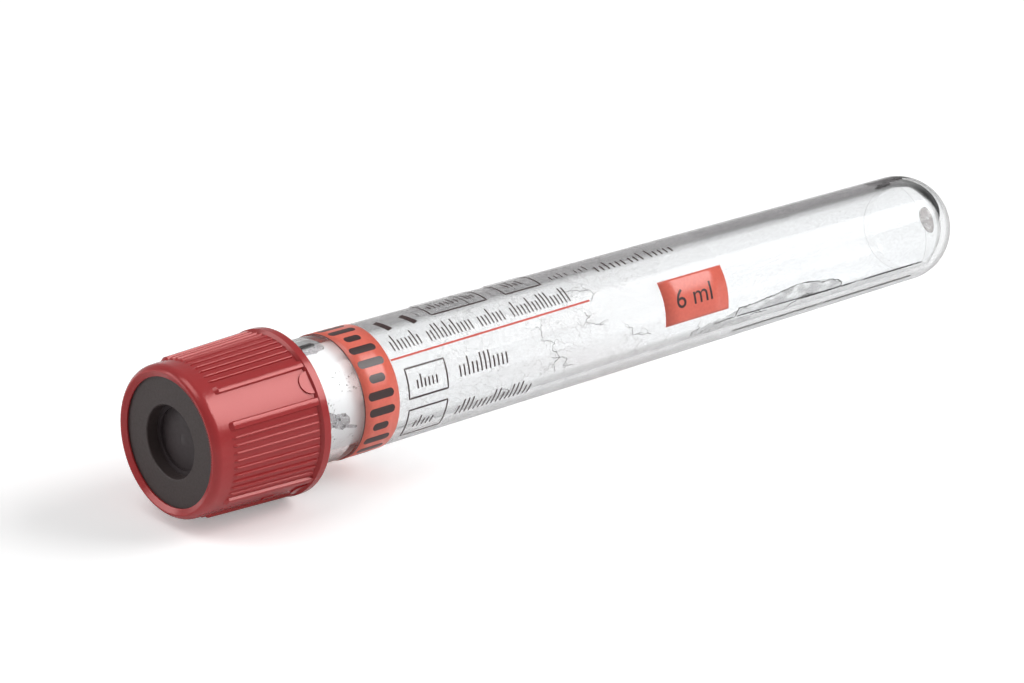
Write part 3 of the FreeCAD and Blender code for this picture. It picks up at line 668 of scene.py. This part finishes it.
BAND_START = LABEL_FRONT + 0.12
BAND_END = 24.02
thin_sleeve("coral_band", BAND_START, BAND_END, FILM_FACE, INK, coral_ink, rows=4)
OVER_INK = 0.014
ink_strip("band_front_line", once_round(BAND_START + 0.02, 120), 0.12, dark_ink, OVER_INK,
          closed=True)
BAR_SPACE = 15.0
BAR_WIDTH = 0.85
LONG_BAR_INSET = 0.62
SHORT_BAR_INSET = 1.25
for number, turn in enumerate(np.arange(0, 360, BAR_SPACE)):
    inset = SHORT_BAR_INSET if number % 3 == 1 else LONG_BAR_INSET
    path = straight((BAND_START + inset, turn), (BAND_END - inset, turn), 48)
    ink_strip(f"band_bar_{number:02d}", path, BAR_WIDTH, dark_ink, OVER_INK, round_ends=True)

ink_strip("red_rule", straight((24.12, 138.3), (50.8, 135.8), 30), 0.2, red_ink)


STROKE_SECTIONS = 6


def ink_strokes(name, starts, ends, width):
    """Short strokes of ink in one mesh: each is a thin box from one (station, turn) to another, in
    sections along it so that it follows the tube. The sides are half the width off the middle line
    along its normal."""
    starts = np.asarray(starts, dtype=float)[:, None, :]
    ends = np.asarray(ends, dtype=float)[:, None, :]
    share = np.linspace(0, 1, STROKE_SECTIONS)[None, :, None]
    line = starts * (1 - share) + ends * share
    face = FILM_FACE + ON_FILM
    radius = tube_radius(line[..., 0]) + face
    flat = np.stack([line[..., 0], np.radians(line[..., 1]) * radius], axis=-1)
    heading = flat[:, -1:] - flat[:, :1]
    heading = heading / np.linalg.norm(heading, axis=-1, keepdims=True)
    normal = np.stack([-heading[..., 1], heading[..., 0]], axis=-1) * width / 2
    sides = np.stack([flat + normal, flat - normal], axis=2)
    turn = np.degrees(sides[..., 1] / radius[..., None])
    base = tube_radius(sides[..., 0]) + face
    low = round_the_tube(sides[..., 0], turn, base)
    high = round_the_tube(sides[..., 0], turn, base + INK)
    rings = np.stack([low[:, :, 0], low[:, :, 1], high[:, :, 1], high[:, :, 0]], axis=2)
    corners = 4 * STROKE_SECTIONS
    last_four = [corners - 4, corners - 3, corners - 2, corners - 1]
    one = np.concatenate([grid_faces(STROKE_SECTIONS, 4), [[3, 2, 1, 0], last_four]])
    faces = (one[None] + corners * np.arange(len(rings))[:, None, None]).reshape(-1, 4)
    return mesh_piece(name, rings, faces.tolist(), dark_ink, "tube", smooth=False)


# Each row: the turn of its middle, its half height in degrees, the space from stroke to stroke, the
# stroke's width, how far the strokes lean, and the spans that its words take along the tube.
WORD_ROWS = {
    "title": (122.5, 8.6, 0.5, 0.17, 0.0, [(25.2, 29.0), (30.0, 35.8), (36.7, 40.2), (41.0, 48.9)]),
    "upper_number": (161.8, 8.6, 0.56, 0.19, 0.0, [(32.1, 38.8)]),
    "lower_number": (201.9, 8.0, 0.6, 0.19, 0.12, [(32.1, 41.7)]),
    "upper_box_word": (163.1, 6.2, 0.5, 0.19, 0.0, [(26.5, 29.1)]),
    "lower_box_word": (203.0, 6.2, 0.55, 0.18, 0.1, [(26.5, 29.1)]),
    "top_box_word": (87.5, 6.0, 0.6, 0.18, 0.0, [(33.0, 36.6)]),
    "top_box_mark": (87.5, 6.0, 0.42, 0.16, 0.0, [(37.9, 39.0)]),
    "far_box_word": (87.5, 6.0, 0.6, 0.18, 0.0, [(43.3, 45.6)]),
    "far_row": (96.0, 4.5, 0.7, 0.14, 0.0, [(48.6, 51.4), (52.0, 53.8)]),
    "edge_row": (101.0, 6.5, 0.74, 0.21, 0.0, [(54.4, 58.6), (59.1, 61.2), (61.8, 65.2)]),
}
for name, (turn, half, space, width, lean, spans) in WORD_ROWS.items():
    places = np.concatenate([np.arange(start, end, space) for start, end in spans])
    short = np.where(wander.random(len(places)) < 0.7, 0.25, 1.0) * half
    starts = np.stack([places + lean, turn - short], axis=1)
    ends = np.stack([places - lean, np.full(len(places), turn + half)], axis=1)
    ink_strokes(name, starts, ends, width)


BOX_SIDE_POINTS = 16


def ink_box(name, start, end, turn_start, turn_end, width=0.19):
    """A plain outlined box: a closed strip round four sides, with points evenly along each side."""
    corners = [(start, turn_start), (end, turn_start), (end, turn_end), (start, turn_end)]
    sides = [straight(corners[k], corners[(k + 1) % 4], BOX_SIDE_POINTS)[:-1] for k in range(4)]
    return ink_strip(name, np.concatenate(sides), width, dark_ink, closed=True)


ink_strokes("top_mark", [(25.9, 91.0), (29.2, 91.0)], [(26.5, 107.0), (29.8, 107.0)], 0.75)
ink_box("upper_box", 25.3, 30.35, 149.4, 176.9)
ink_box("lower_box", 25.3, 30.35, 188.0, 218.2)
ink_box("top_box", 32.2, 39.5, 71.5, 103.0)
ink_box("far_box", 42.0, 46.8, 71.5, 103.0)
ink_strip("top_box_divider", straight((37.3, 71.5), (37.3, 103.0), BOX_SIDE_POINTS), 0.12, dark_ink)

# The coral patch and the volume on it, each by its first and last station and turn. The letters are
# cut across at many levels, so that they bend round the tube.
PATCH = (60.05, 69.02, 137.6, 182.8)
VOLUME = (61.85, 66.85, 149.6, 168.2)
LETTER_LEVELS = np.arange(-0.2, 0.9, 0.06)
thin_field("coral_patch", *PATCH, coral_ink, FILM_FACE, INK)
volume = bpy.data.curves.new("volume", "FONT")
volume.body = "6 ml"
volume.size = 1.0
volume_object = bpy.data.objects.new("volume_pattern", volume)
scene.collection.objects.link(volume_object)
volume_mesh = bpy.data.meshes.new_from_object(volume_object)
bpy.data.objects.remove(volume_object, do_unlink=True)
letters = bmesh.new()
letters.from_mesh(volume_mesh)
for level in LETTER_LEVELS:
    bmesh.ops.bisect_plane(letters, geom=letters.verts[:] + letters.edges[:] + letters.faces[:],
                           plane_co=(0, float(level), 0), plane_no=(0, 1, 0))
letters.to_mesh(volume_mesh)
letters.free()
flat = np.empty(len(volume_mesh.vertices) * 3)
volume_mesh.vertices.foreach_get("co", flat)
flat = flat.reshape(-1, 3)
low, high = flat.min(axis=0), flat.max(axis=0)
station = VOLUME[0] + (flat[:, 0] - low[0]) / (high[0] - low[0]) * (VOLUME[1] - VOLUME[0])
turn = VOLUME[3] - (flat[:, 1] - low[1]) / (high[1] - low[1]) * (VOLUME[3] - VOLUME[2])
bent = round_the_tube(station, turn, tube_radius(station) + FILM_FACE + INK + ON_FILM)
volume_mesh.vertices.foreach_set("co", bent.ravel())
volume_piece = bpy.data.objects.new("volume_marking", volume_mesh)
volume_mesh.materials.append(dark_ink)
scene.collection.objects.link(volume_piece)
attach(volume_piece, "tube")
thicken = volume_piece.modifiers.new("ink", "SOLIDIFY")
thicken.thickness = INK_SOLID
thicken.offset = 0

# ---------------------------------------------------------------------------------------------
# The stopper: dark rubber moulded in one piece, matte. Its head is held in the cap behind the ring,
# and its plug seals the tube's mouth; only its face shows, at the bottom of the needle hole.

# Fine grain, shared by the stopper, the ring and the cap: noise of the given size per metre bumps the
# surface by the depth in metres, and moves the roughness from Satin to Matt.
fine_grain, nodes, links, given, result = new_group(
    "fine_grain",
    {"Size": 2000, "Depth": 0.00002, "Strength": 0.3, "Satin": 0.4, "Matt": 0.6},
    {"Noise": "NodeSocketFloat", "Roughness": "NodeSocketFloat", "Normal": "NodeSocketVector"})
where = nodes.new("ShaderNodeTexCoord")
noise = nodes.new("ShaderNodeTexNoise")
noise.inputs["Detail"].default_value = 3
links.new(where.outputs["Object"], noise.inputs["Vector"])
links.new(given.outputs["Size"], noise.inputs["Scale"])
bump = nodes.new("ShaderNodeBump")
links.new(given.outputs["Strength"], bump.inputs["Strength"])
links.new(given.outputs["Depth"], bump.inputs["Distance"])
links.new(noise.outputs["Fac"], bump.inputs["Height"])
gloss = nodes.new("ShaderNodeMapRange")
gloss.inputs["From Min"].default_value = 0.3
gloss.inputs["From Max"].default_value = 0.7
links.new(given.outputs["Satin"], gloss.inputs["To Min"])
links.new(given.outputs["Matt"], gloss.inputs["To Max"])
links.new(noise.outputs["Fac"], gloss.inputs["Value"])
links.new(noise.outputs["Fac"], result.inputs["Noise"])
links.new(gloss.outputs["Result"], result.inputs["Roughness"])
links.new(bump.outputs["Normal"], result.inputs["Normal"])

rubber, nodes, links, shader = new_material("stopper_rubber_look")
shader.inputs["Base Color"].default_value = (0.038, 0.027, 0.029, 1)
grain = place_group(nodes, fine_grain, Size=1800, Depth=0.00002, Strength=0.3, Satin=0.5, Matt=0.65)
links.new(grain.outputs["Roughness"], shader.inputs["Roughness"])
links.new(grain.outputs["Normal"], shader.inputs["Normal"])
for slot in frame["nodes"]["stopper"].material_slots:
    slot.material = rubber

# ---------------------------------------------------------------------------------------------
# The retaining ring: a moulded near-black washer, matte, snapped into the cap behind its front lip.
# It keeps the stopper's head in the cap, and the needle goes in through its round hole.
ring_plastic, nodes, links, shader = new_material("ring_plastic_look")
shader.inputs["Base Color"].default_value = (0.044, 0.031, 0.03, 1)
grain = place_group(nodes, fine_grain, Size=4500, Depth=0.00001, Strength=0.35, Satin=0.45, Matt=0.6)
links.new(grain.outputs["Roughness"], shader.inputs["Roughness"])
links.new(grain.outputs["Normal"], shader.inputs["Normal"])
for slot in frame["nodes"]["retaining_ring"].material_slots:
    slot.material = ring_plastic

# ---------------------------------------------------------------------------------------------
# The safety cap: dark red polyethylene, moulded in one piece with a satin face that lets a little
# light in, ribbed for grip. It twists off the tube's thread and takes the stopper with it.
cap_plastic, nodes, links, shader = new_material("cap_plastic_look")
shader.inputs["Subsurface Weight"].default_value = 0.12
shader.inputs["Subsurface Radius"].default_value = (1.0, 0.15, 0.12)
shader.inputs["Subsurface Scale"].default_value = 0.0008
shader.inputs["Specular IOR Level"].default_value = 0.85
shader.inputs["Specular Tint"].default_value = (1.0, 0.5, 0.48, 1)
grain = place_group(nodes, fine_grain, Size=5200, Depth=0.00002, Strength=0.3, Satin=0.15, Matt=0.24)
links.new(grain.outputs["Roughness"], shader.inputs["Roughness"])
links.new(grain.outputs["Normal"], shader.inputs["Normal"])
cloud = nodes.new("ShaderNodeMix")
cloud.data_type = "RGBA"
cloud.inputs["A"].default_value = (0.37, 0.028, 0.031, 1)
cloud.inputs["B"].default_value = (0.4, 0.033, 0.036, 1)
links.new(grain.outputs["Noise"], cloud.inputs["Factor"])
links.new(cloud.outputs["Result"], shader.inputs["Base Color"])
for slot in frame["nodes"]["safety_cap"].material_slots:
    slot.material = cap_plastic

# ---------------------------------------------------------------------------------------------
# The stage: a plain pale floor that the tube lies on, three soft lamps, a pale room round it, which
# is what the clear wall mirrors and bends, and the camera.
FLOOR_HALF = 4
floor_corners = [(-FLOOR_HALF, -FLOOR_HALF, 0), (FLOOR_HALF, -FLOOR_HALF, 0),
                 (FLOOR_HALF, FLOOR_HALF, 0), (-FLOOR_HALF, FLOOR_HALF, 0)]
floor_mesh = bpy.data.meshes.new("floor")
floor_mesh.from_pydata(floor_corners, [], [(0, 1, 2, 3)])
floor = bpy.data.objects.new("floor", floor_mesh)
scene.collection.objects.link(floor)
paper, nodes, links, shader = new_material("floor_paper")
shader.inputs["Base Color"].default_value = (0.9, 0.9, 0.9, 1)
shader.inputs["Roughness"].default_value = 0.9
shader.inputs["Specular IOR Level"].default_value = 0.1
# The floor glows a little for the camera, and less for what is seen through the tube.
GLOW_SEEN = 0.3
GLOW_THROUGH = 0.15
light_path = nodes.new("ShaderNodeLightPath")
lift = nodes.new("ShaderNodeMath")
lift.operation = "MULTIPLY_ADD"
lift.inputs[1].default_value = GLOW_SEEN
links.new(light_path.outputs["Is Camera Ray"], lift.inputs[0])
faint = nodes.new("ShaderNodeMath")
faint.operation = "MULTIPLY"
faint.inputs[1].default_value = GLOW_THROUGH
links.new(light_path.outputs["Is Transmission Ray"], faint.inputs[0])
links.new(faint.outputs[0], lift.inputs[2])
shader.inputs["Emission Color"].default_value = (1, 1, 1, 1)
links.new(lift.outputs[0], shader.inputs["Emission Strength"])
floor_mesh.materials.append(paper)

# The room: an even level for plain light, and for mirrored and refracted light a level that goes with
# the height looked at, and falls off towards the wall past the tube's round end.
ROOM_LEVEL = 0.19
room = bpy.data.worlds.new("room")
scene.world = room
room.use_nodes = True
nodes, links = room.node_tree.nodes, room.node_tree.links
background = nodes["Background"]
place = nodes.new("ShaderNodeTexCoord")
split = nodes.new("ShaderNodeSeparateXYZ")
links.new(place.outputs["Generated"], split.inputs[0])
height = nodes.new("ShaderNodeValToRGB")
ramp = height.color_ramp
ramp.elements[0].position = 0.0
ramp.elements[0].color = (0.6, 0.6, 0.6, 1)
ramp.elements[1].position = 1.0
ramp.elements[1].color = (0.5, 0.5, 0.5, 1)
for position, level in ((0.1, 0.5), (0.25, 0.42), (0.5, 0.36), (0.7, 0.38)):
    ramp.elements.new(position).color = (level, level, level, 1)
links.new(split.outputs["Z"], height.inputs["Fac"])
light_path = nodes.new("ShaderNodeLightPath")
mirrored = nodes.new("ShaderNodeMath")
mirrored.operation = "MAXIMUM"
links.new(light_path.outputs["Is Glossy Ray"], mirrored.inputs[0])
links.new(light_path.outputs["Is Transmission Ray"], mirrored.inputs[1])
either = nodes.new("ShaderNodeMix")
either.data_type = "RGBA"
links.new(mirrored.outputs[0], either.inputs["Factor"])
either.inputs["A"].default_value = (ROOM_LEVEL, ROOM_LEVEL, ROOM_LEVEL, 1)
end_wall = nodes.new("ShaderNodeMapRange")
end_wall.inputs["From Min"].default_value = 0.62
end_wall.inputs["From Max"].default_value = 0.9
end_wall.inputs["To Min"].default_value = 1.0
end_wall.inputs["To Max"].default_value = 0.1
links.new(split.outputs["X"], end_wall.inputs["Value"])
shaded = nodes.new("ShaderNodeMix")
shaded.data_type = "RGBA"
shaded.blend_type = "MULTIPLY"
shaded.inputs["Factor"].default_value = 1.0
links.new(height.outputs["Color"], shaded.inputs["A"])
links.new(end_wall.outputs["Result"], shaded.inputs["B"])
links.new(shaded.outputs["Result"], either.inputs["B"])
links.new(either.outputs["Result"], background.inputs["Color"])
background.inputs["Strength"].default_value = 1.0


def soft_lamp(name, place, aim, size, power):
    """A square area lamp of the given side in metres at one place, turned to face another."""
    lamp = bpy.data.lights.new(name, "AREA")
    lamp.shape = "SQUARE"
    lamp.size = size
    lamp.energy = power
    holder = bpy.data.objects.new(name, lamp)
    scene.collection.objects.link(holder)
    holder.location = place
    direction = np.array(aim, dtype=float) - np.array(place, dtype=float)
    holder.rotation_euler = Vector(direction).to_track_quat("-Z", "Y").to_euler()


soft_lamp("key_lamp", (1.677, -1.25, 1.54), (0, 0, 0), 1.65, 50)
soft_lamp("left_lamp", (-1.7, 1.5, 0.9), (0, 0, 0), 1.4, 17)
soft_lamp("top_lamp", (-0.91, 0.26, 2.34), (0, 0, 0), 1.4, 18)

CAMERA_PLACE = (-0.320371, -0.351469, 0.197473)
CAMERA_HEADING = (0.61533, 0.69344, -0.37484)
eye = bpy.data.cameras.new("camera")
eye.sensor_width = 36
eye.lens = 175.78
eye.clip_start = 0.01
camera = bpy.data.objects.new("camera", eye)
scene.collection.objects.link(camera)
camera.location = CAMERA_PLACE
camera.rotation_euler = Vector(CAMERA_HEADING).to_track_quat("-Z", "Y").to_euler()
scene.camera = camera
scene.cycles.transparent_max_bounces = 32
scene.cycles.transmission_bounces = 16
scene.cycles.max_bounces = 20
